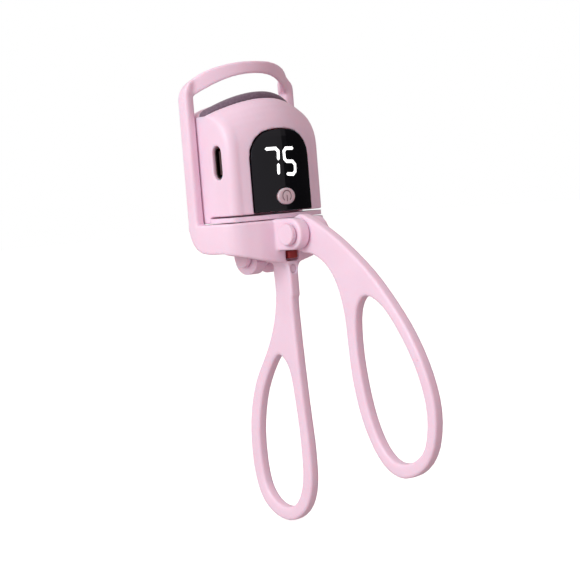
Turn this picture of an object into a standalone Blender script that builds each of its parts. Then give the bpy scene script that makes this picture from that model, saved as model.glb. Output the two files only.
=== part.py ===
"""Heated eyelash curler: a fixed clamp frame, a heated head that slides up in it, and a finger lever.

X runs along the jaw, -Y faces the user, +Z is up. Design dimensions are measured from the head's
bottom seam (Z) and from the front plane of the uprights (Y). The row's origin is the middle of the
rear finger loop, so every piece hangs on an empty that is shifted by GRIP_Y and GRIP_Z.
"""
import math

import bpy

MM = 0.001

# Row origin: middle of the rear finger loop, in design coordinates.
GRIP_Y = -5.5 * MM
GRIP_Z = -64.0 * MM

# Fits.
SEAM = 0.3 * MM               # gap between pieces that rest on or sit in each other
PIN_PLAY = 0.08 * MM          # radial running clearance of the hinge pins

# Clamp frame.
JAW_HALF = 17.2 * MM          # inner face of an upright
FRAME_HALF = 20.35 * MM       # outer face of an upright
UPRIGHT_EDGE = 1.0 * MM       # radius of its front outer edge
UPRIGHT_DEPTH = 4.3 * MM
JAW_RISE = 5.5 * MM           # the jaw arches up by this much in the middle
BAR_BOW = 7.3 * MM            # and bows forward by this much
BAR_LEAN = 1.0 * MM           # at its sides the bar's front leans forward by this much
BAR_BOTTOM = 34.35 * MM
BAR_SHOULDER = 38.0 * MM      # outer corner of the bar before rounding
BAR_TOP = 43.35 * MM
BAR_FULLNESS = 2.6            # above 2, the top of the arch is flatter than a parabola
JAW_FULLNESS = 2.3            # and so is its underside
BAR_DEPTH = 1.3 * MM          # front to back in the middle; it grows to the uprights' depth
BAR_CORNER = 4.2 * MM
BAR_SET_BACK = 0.4 * MM       # the lower edge of the bar's front stands back a little
UPRIGHT_ROOT = 0.9 * MM       # how far the uprights reach down into the skirt
SKIRT_TOP = -2.05 * MM
SKIRT_SIDE_BOTTOM = -10.4 * MM
SKIRT_WALL = 2.0 * MM
SKIRT_FRONT = -16.8 * MM
SKIRT_RADIUS = 36.0 * MM      # plan radius of the bowed front
SKIRT_CORNER = 8.4 * MM
SKIRT_FRONT_HALF = 18.3 * MM  # the sides draw in a little towards the front
SKIRT_ROOF = 1.55 * MM
SKIRT_REAR_WALL = 1.7 * MM
WELL_HALF = 10.5 * MM         # opening in the skirt's roof that the link bracket moves in
WELL_FRONT = -13.0 * MM
WELL_BACK = 2.45 * MM

# Handles.
HANDLE_HALF = 1.68 * MM       # half thickness of both finger loops
LOOP_EDGE = 0.65 * MM         # width of their rounded edges
STEM_FRONT = -16.3 * MM
STEM_BACK = -9.6 * MM

# Hinges.
EAR_INNER = 1.9 * MM
EAR_OUTER = 5.5 * MM
EAR_RADIUS = 4.45 * MM
LINK_EAR_RADIUS = 5.25 * MM
PIN_RADIUS = 1.3 * MM
PIN_HEAD_RADIUS = 3.05 * MM
PIN_HEAD_THICKNESS = 1.7 * MM
FRONT_PIN_Y = -22.6 * MM
FRONT_PIN_Z = -6.2 * MM
REAR_PIN_Y = -2.4 * MM
REAR_PIN_Z = -12.1 * MM
HUB_RADIUS = 5.2 * MM
ARM_HALF = 2.6 * MM
KNUCKLE_RADIUS = 3.2 * MM
SLOT_LENGTH = 0.9 * MM        # the lever's inner hole is a slot, for the arc it swings through

# Head.
HEAD_HALF = 16.9 * MM
HEAD_FRONT = -15.8 * MM
HEAD_RADIUS = 38.0 * MM       # plan radius of the bowed front
HEAD_BACK = 4.5 * MM
HEAD_CORNER = 3.0 * MM
HEAD_SHOULDER = 18.5 * MM     # the front is upright below this and domed above it
HEAD_TOP = 28.4 * MM
HEAD_TOP_RISE = 4.3 * MM
HEAD_WALL = 1.8 * MM
HEAD_ROOF = 3.2 * MM
HEAD_FLOOR = 1.2 * MM
FOOT_FRONT = -2.0 * MM
FOOT_BOTTOM = -1.75 * MM
FOOT_INNER = 13.2 * MM
RIB_DEPTH = 0.7 * MM
RIB_HALF = 0.6 * MM
RIB_Y = 2.3 * MM

# Pad and heater: a stack of strips that follow the jaw.
PAD_FRONT = -2.3 * MM
PAD_BOW = 6.9 * MM
PAD_DEPTH = 3.7 * MM
PAD_TOP = 29.1 * MM
PAD_BOTTOM = 26.35 * MM
PAD_HALF = 16.4 * MM
PLATE_HALF = 14.6 * MM

# Display window and button.
WINDOW_HALF = 10.45 * MM
WINDOW_BOTTOM = 0.35 * MM
WINDOW_TOP = 23.4 * MM
WINDOW_CORNER = 7.5 * MM
WINDOW_THICKNESS = 1.3 * MM
BUTTON_Z = 4.35 * MM
BUTTON_WIDE = 3.3 * MM
BUTTON_TALL = 2.4 * MM
USB_Y = -7.2 * MM
USB_Z = 15.0 * MM
USB_LENGTH = 8.94 * MM
USB_WIDTH = 3.26 * MM

# Screws: where they stand and how big their heads are.
DECK_SCREW_X = 13.4 * MM
DECK_SCREW_Y = -10.2 * MM
BOSSES = [(13.0 * MM, 3.2 * MM), (13.0 * MM, 21.8 * MM)]
BRACKET_SCREW_X = 7.6 * MM
BRACKET_SCREW_Y = -1.5 * MM
SCREW_HEAD = 1.65 * MM        # radius
SCREW_SHANK = 0.65 * MM       # radius
SCREW_HOLE = 0.95 * MM        # radius
SCREW_RECESS = 2.0 * MM       # radius
BOSS_RADIUS = 2.3 * MM

# Deck plate, rear cover and the plug in the stem.
DECK_BOTTOM = -1.75 * MM
DECK_TOP = -0.45 * MM
DECK_NOTCH = -5.7 * MM        # its back edge is notched from here for the link bracket
COVER_THICKNESS = 3.0 * MM    # from the back of the head, seam included
PLUG_Z = -16.2 * MM
PLUG_RADIUS = 1.1 * MM

# Electronics and heater.
BOARD_HALF = 13.5 * MM
BOARD_FRONT = -10.0 * MM
BOARD_BACK = -9.0 * MM
SWITCH_FRONT = -12.0 * MM
SWITCH_HALF = 2.2 * MM
PLATE_THICKNESS = 1.45 * MM
FILM_THICKNESS = 0.4 * MM
CARRIER_THICKNESS = 1.3 * MM
LEAD_RADIUS = 0.4 * MM
LEAD_ROUTE = [(4.0, -5.0, 26.4), (4.0, -5.6, 25.0), (4.2, -7.2, 23.9), (4.4, -8.9, 22.8), (4.5, -9.5, 21.0)]

# The top of the bow is crowned: behind this Y it drops, by this much at the back of the uprights.
BOW_CROWN_START = -3.0 * MM
BOW_CROWN_DROP = 1.6 * MM

# Outlines of the finger loops and their holes, as (y, z) in millimetres.
REAR_LOOP = [
    (-16.3, -14), (-16.3, -27), (-16.9, -42), (-17.8, -56), (-18.7, -68), (-18.3, -78), (-15.5, -84.6),
    (-10.8, -88.3), (-5.4, -89.2), (0.2, -87.3), (4.6, -83), (6.9, -76), (7.4, -67), (6.1, -57.5),
    (2.6, -48.4), (-3.3, -39.7), (-7.3, -31.8), (-9.3, -23.5), (-9.6, -14)]
REAR_HOLE = [
    (-8.8, -40.8), (-12.5, -44.9), (-14.0, -54), (-14.9, -66), (-14.5, -76.7), (-11.4, -83.3),
    (-6.5, -85.3), (-1.4, -83.6), (2.1, -78.7), (3.3, -70), (2.7, -61), (-0.1, -51.7), (-5.0, -43.8)]
FRONT_LOOP = [
    (-21.0, -1.4), (-25.6, -1.9), (-31.3, -4.8), (-38.6, -9.4), (-48.3, -17.2), (-56, -25.5),
    (-62.5, -34.4), (-67.2, -44.3), (-69.3, -54), (-67.8, -63.6), (-63.1, -69.9), (-56, -72.6), (-50, -70.8),
    (-45.1, -65.5), (-41.1, -57), (-38.8, -47), (-38.1, -38.3), (-37.5, -28.6), (-35.2, -20.4),
    (-31.4, -15.1), (-26.3, -12.2), (-21.5, -10.8)]
FRONT_HOLE = [
    (-46.3, -23.8), (-52.5, -26.7), (-58.7, -34.7), (-63.7, -44.4), (-66.0, -54.5), (-64.4, -63.5),
    (-59.6, -67.8), (-53.5, -68.5), (-48.7, -64.7), (-44.9, -57), (-42.5, -46.5), (-41.6, -36.2),
    (-42.5, -27.7)]

PINK = (0.86, 0.56, 0.66)
ROSE = (0.80, 0.50, 0.58)


# ---------------------------------------------------------------- scene and materials

def clear_scene():
    for item in list(bpy.data.objects):
        bpy.data.objects.remove(item, do_unlink=True)


def material(name, colour, roughness, metallic=0.0):
    found = bpy.data.materials.get(name)
    if found:
        return found
    made = bpy.data.materials.new(name)
    made.use_nodes = True
    shader = made.node_tree.nodes["Principled BSDF"]
    shader.inputs["Base Color"].default_value = (*colour, 1.0)
    shader.inputs["Roughness"].default_value = roughness
    shader.inputs["Metallic"].default_value = metallic
    return made


def pink_plastic():
    return material("pink_plastic", PINK, 0.42)


def rose_plastic():
    return material("rose_plastic", ROSE, 0.42)


def black_gloss():
    return material("black_gloss", (0.012, 0.012, 0.014), 0.08)


def dark_silicone():
    return material("dark_silicone", (0.16, 0.10, 0.15), 0.7)


def red_silicone():
    return material("red_silicone", (0.25, 0.02, 0.03), 0.55)


def steel():
    return material("steel", (0.6, 0.6, 0.62), 0.3, 1.0)


def board_green():
    return material("board_green", (0.03, 0.16, 0.08), 0.5)


def body_empty(name):
    """One empty per rigid body, at the same place as the row's origin."""
    empty = bpy.data.objects.new(name, None)
    bpy.context.collection.objects.link(empty)
    empty.location = (0.0, -GRIP_Y, -GRIP_Z)
    return empty


# ---------------------------------------------------------------- outlines

def rounded(corners, steps=5):
    """Polygon from (u, v, radius) corners, each with its own fillet."""
    points = []
    count = len(corners)
    for i, (u, v, radius) in enumerate(corners):
        if radius == 0.0:
            points.append((u, v))
            continue
        before, after = corners[i - 1], corners[(i + 1) % count]
        a = math.atan2(before[1] - v, before[0] - u)
        b = math.atan2(after[1] - v, after[0] - u)
        turn = (b - a + math.pi) % (2.0 * math.pi) - math.pi
        half = abs(turn) / 2.0
        middle = a + turn / 2.0
        centre_u = u + math.cos(middle) * radius / math.sin(half)
        centre_v = v + math.sin(middle) * radius / math.sin(half)
        sweep = math.copysign(math.pi - abs(turn), turn)
        for k in range(steps + 1):
            angle = middle + math.pi + sweep * (0.5 - k / steps)
            points.append((centre_u + radius * math.cos(angle), centre_v + radius * math.sin(angle)))
    return points


def smooth_loop(controls, steps=3):
    """Closed Catmull-Rom curve through a few control points."""
    points = []
    count = len(controls)
    for i in range(count):
        p0, p1, p2, p3 = (controls[(i + k) % count] for k in (-1, 0, 1, 2))
        for k in range(steps):
            t = k / steps
            points.append(tuple(
                0.5 * (2.0 * p1[c] + (p2[c] - p0[c]) * t
                       + (2.0 * p0[c] - 5.0 * p1[c] + 4.0 * p2[c] - p3[c]) * t ** 2
                       + (3.0 * p1[c] - p0[c] - 3.0 * p2[c] + p3[c]) * t ** 3)
                for c in (0, 1)))
    return points


def in_mm(points):
    return [(u * MM, v * MM) for u, v in points]


def ellipse(u, v, radius_u, radius_v, segments=32):
    return [(u + radius_u * math.cos(2.0 * math.pi * k / segments),
             v + radius_v * math.sin(2.0 * math.pi * k / segments)) for k in range(segments)]


def stadium(u, v, half_u, half_v, segments=8):
    """Slot outline, longer along v, with round ends."""
    radius = half_u
    ends = []
    for centre, start in ((v + half_v - radius, 0.0), (v - half_v + radius, math.pi)):
        ends += [(u + radius * math.cos(start + math.pi * k / segments),
                  centre + radius * math.sin(start + math.pi * k / segments)) for k in range(segments + 1)]
    return ends


def spaced(low, high, count):
    return [low + (high - low) * k / (count - 1) for k in range(count)]


def jaw(x):
    """1 in the middle of the jaw, 0 at the uprights."""
    return max(0.0, 1.0 - (x / JAW_HALF) ** 2)


# ---------------------------------------------------------------- solids

def mesh_object(name, vertices, faces, surface, parent):
    mesh = bpy.data.meshes.new(name)
    mesh.from_pydata(vertices, [], faces)
    mesh.materials.append(surface)
    made = bpy.data.objects.new(name, mesh)
    bpy.context.collection.objects.link(made)
    made.parent = parent
    return made


def stack(name, rings, surface, parent):
    """Closed solid through rings of equal point count; the rings run counter-clockwise about the stack."""
    count = len(rings[0])
    vertices = [point for ring in rings for point in ring]
    faces = [tuple(reversed(range(count)))]
    for level in range(len(rings) - 1):
        low, high = level * count, (level + 1) * count
        faces += [(low + k, low + (k + 1) % count, high + (k + 1) % count, high + k) for k in range(count)]
    last = (len(rings) - 1) * count
    faces.append(tuple(range(last, last + count)))
    return mesh_object(name, vertices, faces, surface, parent)


def counter_clockwise(outline):
    area = sum(a[0] * b[1] - b[0] * a[1] for a, b in zip(outline, outline[1:] + outline[:1]))
    return outline if area > 0.0 else outline[::-1]


def prism(name, outline, axis, low, high, surface, parent, bevel=0.0):
    """Extrude an outline: (y, z) along X, (z, x) along Y written as (x, z), or (x, y) along Z."""
    outline = counter_clockwise(list(outline))
    if axis == "X":
        rings = [[(level, u, v) for u, v in outline] for level in (low, high)]
    elif axis == "Y":
        rings = [[(u, level, v) for u, v in outline[::-1]] for level in (low, high)]
    else:
        rings = [[(u, v, level) for u, v in outline] for level in (low, high)]
    made = stack(name, rings, surface, parent)
    if bevel:
        add_bevel(made, bevel)
    return made


def box(name, low, high, surface, parent, bevel=0.0):
    outline = [(low[0], low[1]), (high[0], low[1]), (high[0], high[1]), (low[0], high[1])]
    return prism(name, outline, "Z", low[2], high[2], surface, parent, bevel)


def add_bevel(target, width, segments=2, angle=40.0):
    bevel = target.modifiers.new("round_edges", "BEVEL")
    bevel.width = width
    bevel.segments = segments
    bevel.limit_method = "ANGLE"
    bevel.angle_limit = math.radians(angle)


def boolean(target, tool, operation):
    modifier = target.modifiers.new(tool.name, "BOOLEAN")
    modifier.operation = operation
    modifier.object = tool
    tool.hide_render = True
    tool.display_type = "WIRE"


def cut(target, *tools):
    for tool in tools:
        boolean(target, tool, "DIFFERENCE")


def join(target, *tools):
    for tool in tools:
        boolean(target, tool, "UNION")


def keep(target, tool):
    boolean(target, tool, "INTERSECT")


def finish_smooth(target):
    target.data.shade_smooth()
    target.data.set_sharp_from_angle(angle=math.radians(35.0))


# ---------------------------------------------------------------- frame body

def bowed_plan(half, front_half, front, radius, corner, back):
    """Plan outline with a bowed front and sides that draw in from half at y = 0 to front_half."""
    reach = front_half - corner
    arc = [(x, front + x ** 2 / (2.0 * radius), 0.0) for x in spaced(-reach, reach, 11)]
    corner_y = front + front_half ** 2 / (2.0 * radius)
    corners = [(-half, back, 0.0), (-half, min(0.0, back), 0.0), (-front_half, corner_y, corner)] + arc
    corners += [(front_half, corner_y, corner), (half, min(0.0, back), 0.0), (half, back, 0.0)]
    if back <= 0.0:
        corners = corners[1:-1]
    return rounded(corners)


def arch(x, half, side, middle, fullness=2.0):
    """Height of an arch that is middle high at x = 0 and side high at x = half."""
    return side + (middle - side) * (1.0 - abs(x / half) ** fullness)


def bar_back(x, front):
    """Y of the bar's back: as deep as the uprights at the ends, slender in the middle."""
    return front + BAR_DEPTH + (UPRIGHT_DEPTH - front - BAR_DEPTH) * abs(x / JAW_HALF) ** 12


def bow_plan(lean):
    """Plan outline of the uprights and the bar; lean moves the bar's sides forward."""
    across = spaced(-JAW_HALF, JAW_HALF, 25)
    fronts = [BAR_SET_BACK * (1.0 - lean) - BAR_BOW * jaw(x) - lean * BAR_LEAN * (x / JAW_HALF) ** 2
              for x in across]
    front = [(x, y, 0.0) for x, y in zip(across, fronts)]
    back = [(x, bar_back(x, y), 0.0) for x, y in zip(reversed(across), reversed(fronts))]
    return rounded([(-FRAME_HALF, UPRIGHT_DEPTH, 0.8 * MM), (-FRAME_HALF, 0.0, UPRIGHT_EDGE)] + front
                   + [(FRAME_HALF, 0.0, UPRIGHT_EDGE), (FRAME_HALF, UPRIGHT_DEPTH, 0.8 * MM)] + back, 3)


def bow_outline(drop):
    """Front outline of the uprights and the bar; drop lowers and rounds the top of it."""
    low = SKIRT_TOP - UPRIGHT_ROOT
    shoulder = BAR_SHOULDER - drop
    corner = BAR_CORNER + 1.5 * drop
    reach = FRAME_HALF - 1.1 * corner
    inner = [(x, arch(x, JAW_HALF, BAR_BOTTOM, BAR_BOTTOM + JAW_RISE, JAW_FULLNESS), 0.0)
             for x in spaced(JAW_HALF, -JAW_HALF, 25)]
    top = [(x, arch(x, FRAME_HALF, shoulder, BAR_TOP - drop, BAR_FULLNESS), 0.0)
           for x in spaced(-reach, reach, 23)]
    return rounded([(-FRAME_HALF, low, 0.0), (-FRAME_HALF, shoulder, corner)] + top
                   + [(FRAME_HALF, shoulder, corner), (FRAME_HALF, low, 0.0), (JAW_HALF, low, 0.0)]
                   + inner + [(-JAW_HALF, low, 0.0)])


def make_bow(surface, parent):
    """Uprights and bar: the front outline of the bow, kept inside a bowed plan."""
    rings = []
    for y in [-20.0 * MM] + spaced(BOW_CROWN_START, UPRIGHT_DEPTH + 0.1 * MM, 8):
        share = max(0.0, y - BOW_CROWN_START) / (UPRIGHT_DEPTH - BOW_CROWN_START)
        outline = counter_clockwise(bow_outline(BOW_CROWN_DROP * share ** 1.5))
        rings.append([(u, y, v) for u, v in reversed(outline)])
    bow = stack("main_frame", rings, surface, parent)
    levels = [(-30.0 * MM, 0.0), (BAR_BOTTOM, 0.0), (BAR_TOP, 1.0), (BAR_TOP + 5.0 * MM, 1.0)]
    keep(bow, stack("bow_plan", [[(u, v, z) for u, v in bow_plan(lean)] for z, lean in levels], surface,
                    parent))
    add_bevel(bow, 0.5 * MM, segments=1, angle=50.0)
    return bow


def make_skirt(surface, parent):
    """Skirt: a bowed wall with a roof; its lower edge sweeps down into the stem."""
    outer = bowed_plan(FRAME_HALF, SKIRT_FRONT_HALF, SKIRT_FRONT, SKIRT_RADIUS, SKIRT_CORNER, UPRIGHT_DEPTH)
    skirt = prism("skirt", outer, "Z", -30.0 * MM, SKIRT_TOP, surface, parent)
    inner = bowed_plan(FRAME_HALF - SKIRT_WALL, SKIRT_FRONT_HALF - SKIRT_WALL, SKIRT_FRONT + SKIRT_WALL,
                       SKIRT_RADIUS, SKIRT_CORNER - 1.6 * MM, UPRIGHT_DEPTH - SKIRT_REAR_WALL)
    cut(skirt, prism("skirt_hollow", inner, "Z", -31.0 * MM, SKIRT_TOP - SKIRT_ROOF, surface, parent),
        box("skirt_well", (-WELL_HALF, WELL_FRONT, -8.0 * MM), (WELL_HALF, WELL_BACK, 2.0 * MM), surface,
            parent))
    side = [(FRAME_HALF + MM, SKIRT_SIDE_BOTTOM, 0.0), (17.4 * MM, -10.9 * MM, 9.0 * MM),
            (9.0 * MM, -13.2 * MM, 9.0 * MM), (HANDLE_HALF, -14.6 * MM, 2.4 * MM),
            (HANDLE_HALF, -24.0 * MM, 0.0)]
    outline = ([(FRAME_HALF + MM, 5.0 * MM, 0.0)] + side + [(-x, z, r) for x, z, r in reversed(side)]
               + [(-FRAME_HALF - MM, 5.0 * MM, 0.0)])
    keep(skirt, prism("skirt_profile", rounded(outline), "Y", -20.0 * MM, 8.0 * MM, surface, parent))
    back_profile = rounded([
        (UPRIGHT_DEPTH + MM, 5.0 * MM, 0.0), (UPRIGHT_DEPTH + MM, -2.4 * MM, 0.0),
        (UPRIGHT_DEPTH, -2.4 * MM, 0.0), (UPRIGHT_DEPTH, SKIRT_SIDE_BOTTOM, 7.9 * MM),
        (-9.3 * MM, SKIRT_SIDE_BOTTOM, 0.0), (-9.3 * MM, -30.0 * MM, 0.0), (-25.0 * MM, -30.0 * MM, 0.0),
        (-25.0 * MM, 5.0 * MM, 0.0)])
    keep(skirt, prism("skirt_back_profile", back_profile, "X", -30.0 * MM, 30.0 * MM, surface, parent))
    return skirt


def make_stem_root(surface, parent):
    """Block behind the skirt's front wall that carries the stem, flared like the skirt's lower edge."""
    side = [(5.6 * MM, -12.2 * MM, 0.0), (5.2 * MM, -13.6 * MM, 1.0 * MM),
            (HANDLE_HALF - 0.1 * MM, -14.6 * MM, 2.2 * MM), (HANDLE_HALF - 0.1 * MM, -18.5 * MM, 0.0)]
    outline = side + [(-x, z, r) for x, z, r in reversed(side)]
    return prism("stem_root", rounded(outline), "Y", STEM_FRONT - 0.05 * MM, STEM_BACK - 0.1 * MM, surface,
                 parent, LOOP_EDGE - 0.05 * MM)


def ear_outline(centre_y, centre_z, radius, flat_y):
    """Hinge ear: a flat towards flat_y and a round end about the pin."""
    ends = [(centre_y - radius * math.sin(a), centre_z + radius * math.cos(a))
            for a in spaced(0.0, math.pi, 15)]
    return [(flat_y, centre_z + radius)] + ends + [(flat_y, centre_z - radius)]


def bore(name, y, z, radius, surface, parent):
    return prism(name, ellipse(y, z, radius, radius), "X", -12.0 * MM, 12.0 * MM, surface, parent)


def make_main_frame(parent):
    pink = pink_plastic()
    frame = make_bow(pink, parent)
    join(frame, make_skirt(pink, parent), make_stem_root(pink, parent))
    handle = prism("rear_loop", smooth_loop(in_mm(REAR_LOOP)), "X", -HANDLE_HALF, HANDLE_HALF, pink, parent)
    cut(handle, prism("rear_hole", smooth_loop(in_mm(REAR_HOLE)), "X", -9.0 * MM, 9.0 * MM, pink, parent))
    add_bevel(handle, LOOP_EDGE, 3)
    join(frame, handle)
    for side, name in ((-1.0, "left"), (1.0, "right")):
        low, high = sorted((side * EAR_INNER, side * EAR_OUTER))
        outline = ear_outline(FRONT_PIN_Y, FRONT_PIN_Z, EAR_RADIUS, -15.6 * MM)
        join(frame, prism("ear_" + name, outline, "X", low, high, pink, parent, 0.4 * MM))
        low, high = sorted((side * (JAW_HALF - RIB_DEPTH), side * (JAW_HALF + MM)))
        join(frame, box("rib_" + name, (low, RIB_Y - RIB_HALF, 1.0 * MM),
                        (high, RIB_Y + RIB_HALF, 33.0 * MM), pink, parent))
    lever_way = in_mm([(-18.5, -2.3), (-18.5, -10.9), (-16.9, -11.3), (-9.0, -13.5), (-4.0, -15.0),
                       (-4.0, -2.3)])
    pad_pocket = box("pad_pocket", (-2.35 * MM, -17.6 * MM, -13.9 * MM), (2.35 * MM, -14.1 * MM, -9.0 * MM),
                     pink, parent)
    hole = PLUG_RADIUS + 0.1 * MM
    plug_hole = prism("plug_hole", ellipse(0.0, PLUG_Z, hole, hole, 20), "Y", -18.0 * MM, -13.4 * MM, pink,
                      parent)
    cut(frame,
        prism("lever_way", lever_way, "X", -EAR_INNER - 0.05 * MM, EAR_INNER + 0.05 * MM, pink, parent),
        pad_pocket, plug_hole,
        bore("front_bore", FRONT_PIN_Y, FRONT_PIN_Z, PIN_RADIUS + PIN_PLAY, pink, parent))
    for x in (-DECK_SCREW_X, DECK_SCREW_X):
        cut(frame, prism("deck_screw_hole", ellipse(x, DECK_SCREW_Y, 1.0 * MM, 1.0 * MM, 16), "Z",
                         -6.0 * MM, 2.0 * MM, pink, parent))
    finish_smooth(frame)
    return frame


def make_deck_plate(parent):
    pink = pink_plastic()
    plan = bowed_plan(HEAD_HALF, HEAD_HALF, HEAD_FRONT + 0.2 * MM, HEAD_RADIUS, 2.4 * MM, FOOT_FRONT - SEAM)
    plate = prism("deck_plate", plan, "Z", DECK_BOTTOM, DECK_TOP, pink, parent)
    cut(plate, box("bracket_notch", (-WELL_HALF, DECK_NOTCH, -4.0 * MM), (WELL_HALF, 2.0 * MM, 2.0 * MM),
                   pink, parent))
    for x in (-DECK_SCREW_X, DECK_SCREW_X):
        cut(plate,
            prism("deck_hole", ellipse(x, DECK_SCREW_Y, 1.0 * MM, 1.0 * MM, 16), "Z", -4.0 * MM, 2.0 * MM,
                  pink, parent),
            prism("deck_recess", ellipse(x, DECK_SCREW_Y, SCREW_RECESS, SCREW_RECESS, 20), "Z",
                  DECK_TOP - 0.8 * MM, 2.0 * MM, pink, parent))
    finish_smooth(plate)


def screw(name, centre, axis, tip, head_low, head_high, head_radius, shank_radius, parent):
    """Pan-head screw along an axis; centre is its place in the other two axes."""
    shank = prism(name, ellipse(*centre, shank_radius, shank_radius, 16), axis, *sorted((tip, head_low)),
                  steel(), parent)
    head = prism(name + "_head", ellipse(*centre, head_radius, head_radius, 20), axis,
                 *sorted((head_low + math.copysign(0.1 * MM, tip - head_low), head_high)), steel(), parent)
    join(shank, head)
    finish_smooth(shank)


def make_deck_screws(parent):
    for index, x in enumerate((-DECK_SCREW_X, DECK_SCREW_X), start=1):
        screw("deck_screw_%d" % index, (x, DECK_SCREW_Y), "Z", -5.0 * MM, -0.95 * MM, -0.4 * MM,
              SCREW_HEAD, SCREW_SHANK, parent)


def make_stop_pad(parent):
    box("lever_stop_pad", (-2.05 * MM, -16.9 * MM, -13.6 * MM), (2.05 * MM, -14.4 * MM, -11.5 * MM),
        red_silicone(), parent, 0.3 * MM)


def make_stem_plug(parent):
    plug = prism("stem_plug", ellipse(0.0, PLUG_Z, PLUG_RADIUS, PLUG_RADIUS, 20), "Y", -16.25 * MM,
                 -13.7 * MM, rose_plastic(), parent)
    finish_smooth(plug)


def make_pin(name, y, z, parent):
    """Headed hinge pin with its shank through both ears, and the cap pressed on its far end."""
    pink = pink_plastic()
    face = EAR_OUTER + SEAM
    pin = prism(name, ellipse(y, z, PIN_RADIUS, PIN_RADIUS), "X", -face - 0.5 * MM, face + 1.0 * MM, pink,
                parent)
    head = prism(name + "_disc", ellipse(y, z, PIN_HEAD_RADIUS, PIN_HEAD_RADIUS), "X",
                 -face - PIN_HEAD_THICKNESS, -face, pink, parent, 0.4 * MM)
    join(pin, head)
    finish_smooth(pin)
    cap = prism(name + "_cap", ellipse(y, z, PIN_HEAD_RADIUS, PIN_HEAD_RADIUS), "X",
                face, face + PIN_HEAD_THICKNESS, pink, parent, 0.4 * MM)
    cut(cap, prism(name + "_socket", ellipse(y, z, PIN_RADIUS + PIN_PLAY, PIN_RADIUS + PIN_PLAY), "X",
                   face - MM, face + 1.2 * MM, pink, parent))
    finish_smooth(cap)


# ---------------------------------------------------------------- lever body

def make_front_handle(parent):
    pink = pink_plastic()
    outline = smooth_loop(in_mm(FRONT_LOOP))
    lever = prism("front_handle", outline, "X", -HANDLE_HALF, HANDLE_HALF, pink, parent)
    cut(lever, prism("front_hole", smooth_loop(in_mm(FRONT_HOLE)), "X", -9.0 * MM, 9.0 * MM, pink, parent))
    add_bevel(lever, LOOP_EDGE, 3)
    half = HANDLE_HALF - 0.02 * MM
    hub = prism("hub", ellipse(FRONT_PIN_Y, FRONT_PIN_Z, HUB_RADIUS, HUB_RADIUS, 40), "X", -half, half,
                pink, parent)
    reach_y, reach_z = REAR_PIN_Y - FRONT_PIN_Y, REAR_PIN_Z - FRONT_PIN_Z
    length = math.hypot(reach_y, reach_z)
    along = (reach_y / length, reach_z / length)
    across = (-along[1], along[0])
    arm = [(FRONT_PIN_Y + s * across[0] * ARM_HALF, FRONT_PIN_Z + s * across[1] * ARM_HALF)
           for s in (1.0, -1.0)]
    arm += [(REAR_PIN_Y + s * across[0] * ARM_HALF, REAR_PIN_Z + s * across[1] * ARM_HALF)
            for s in (-1.0, 1.0)]
    knuckle = ellipse(REAR_PIN_Y, REAR_PIN_Z, KNUCKLE_RADIUS, KNUCKLE_RADIUS)
    join(lever, hub, prism("arm", arm, "X", -half + 0.02 * MM, half - 0.02 * MM, pink, parent),
         prism("knuckle", knuckle, "X", -half, half, pink, parent))
    hole = PIN_RADIUS + 0.15 * MM
    slot = []
    for centre, start in ((SLOT_LENGTH * 0.15, -0.5), (-SLOT_LENGTH, 0.5)):
        for angle in spaced(start * math.pi, (start + 1.0) * math.pi, 13):
            u, v = centre + hole * math.cos(angle), hole * math.sin(angle)
            slot.append((REAR_PIN_Y + u * along[0] + v * across[0],
                         REAR_PIN_Z + u * along[1] + v * across[1]))
    cut(lever, prism("lever_slot", slot, "X", -9.0 * MM, 9.0 * MM, pink, parent),
        bore("lever_bore", FRONT_PIN_Y, FRONT_PIN_Z, PIN_RADIUS + PIN_PLAY, pink, parent))
    finish_smooth(lever)


# ---------------------------------------------------------------- head body

def head_front(x, inset=0.0):
    """Y of the head's front at x: bowed, with a round corner into the flat side."""
    half = HEAD_HALF - inset
    start = half - HEAD_CORNER
    across = min(abs(x), start)
    bowed = HEAD_FRONT + inset + across ** 2 / (2.0 * HEAD_RADIUS)
    beyond = max(0.0, abs(x) - start)
    return bowed + HEAD_CORNER - math.sqrt(max(0.0, HEAD_CORNER ** 2 - beyond ** 2))


def head_section(x, inset, top_drop, floor, back):
    """Outline in (y, z) of a slice of the head: floor, upright front, dome, top and back."""
    front = head_front(x, inset)
    pad_edge = PAD_FRONT - PAD_BOW * jaw(x) + inset
    top = HEAD_TOP + HEAD_TOP_RISE * jaw(x) - top_drop
    shoulder = HEAD_SHOULDER - 0.4 * inset
    dome = [(pad_edge - (pad_edge - front) * math.sin(a), shoulder + (top - shoulder) * math.cos(a))
            for a in spaced(0.0, math.pi / 2.0, 9)]
    return [(back, floor), (back, top)] + dome + [(front, floor)]


def head_solid(name, inset, top_drop, floor, back, slices, surface, parent):
    half = HEAD_HALF - inset
    places = [half * math.sin(a) for a in spaced(-math.pi / 2.0, math.pi / 2.0, slices)]
    rings = [[(x, y, z) for y, z in head_section(x, inset, top_drop, floor, back)] for x in places]
    return stack(name, rings, surface, parent)


def window_outline(clearance):
    half = WINDOW_HALF + clearance
    corner = WINDOW_CORNER
    top = WINDOW_TOP + clearance
    bottom = WINDOW_BOTTOM - clearance
    return rounded([(-half, bottom, 0.0), (half, bottom, 0.0), (half, top - 1.2 * MM, corner),
                    (0.0, top, 12.0 * MM), (-half, top - 1.2 * MM, corner)])


def jaw_strip(name, half, front, depth, low, high, surface, parent, slices=21, crown=0.0):
    """Strip that follows the jaw's arch and bow; front is measured from the pad's front edge."""
    section = rounded([(0.0, low, 0.0), (depth, low, 0.0), (depth, high, crown), (0.0, high, crown)], 3)
    rings = []
    for x in spaced(-half, half, slices):
        y = PAD_FRONT + front - PAD_BOW * jaw(x)
        rings.append([(x, y + u, v + JAW_RISE * jaw(x)) for u, v in section])
    return stack(name, rings, surface, parent)


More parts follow.
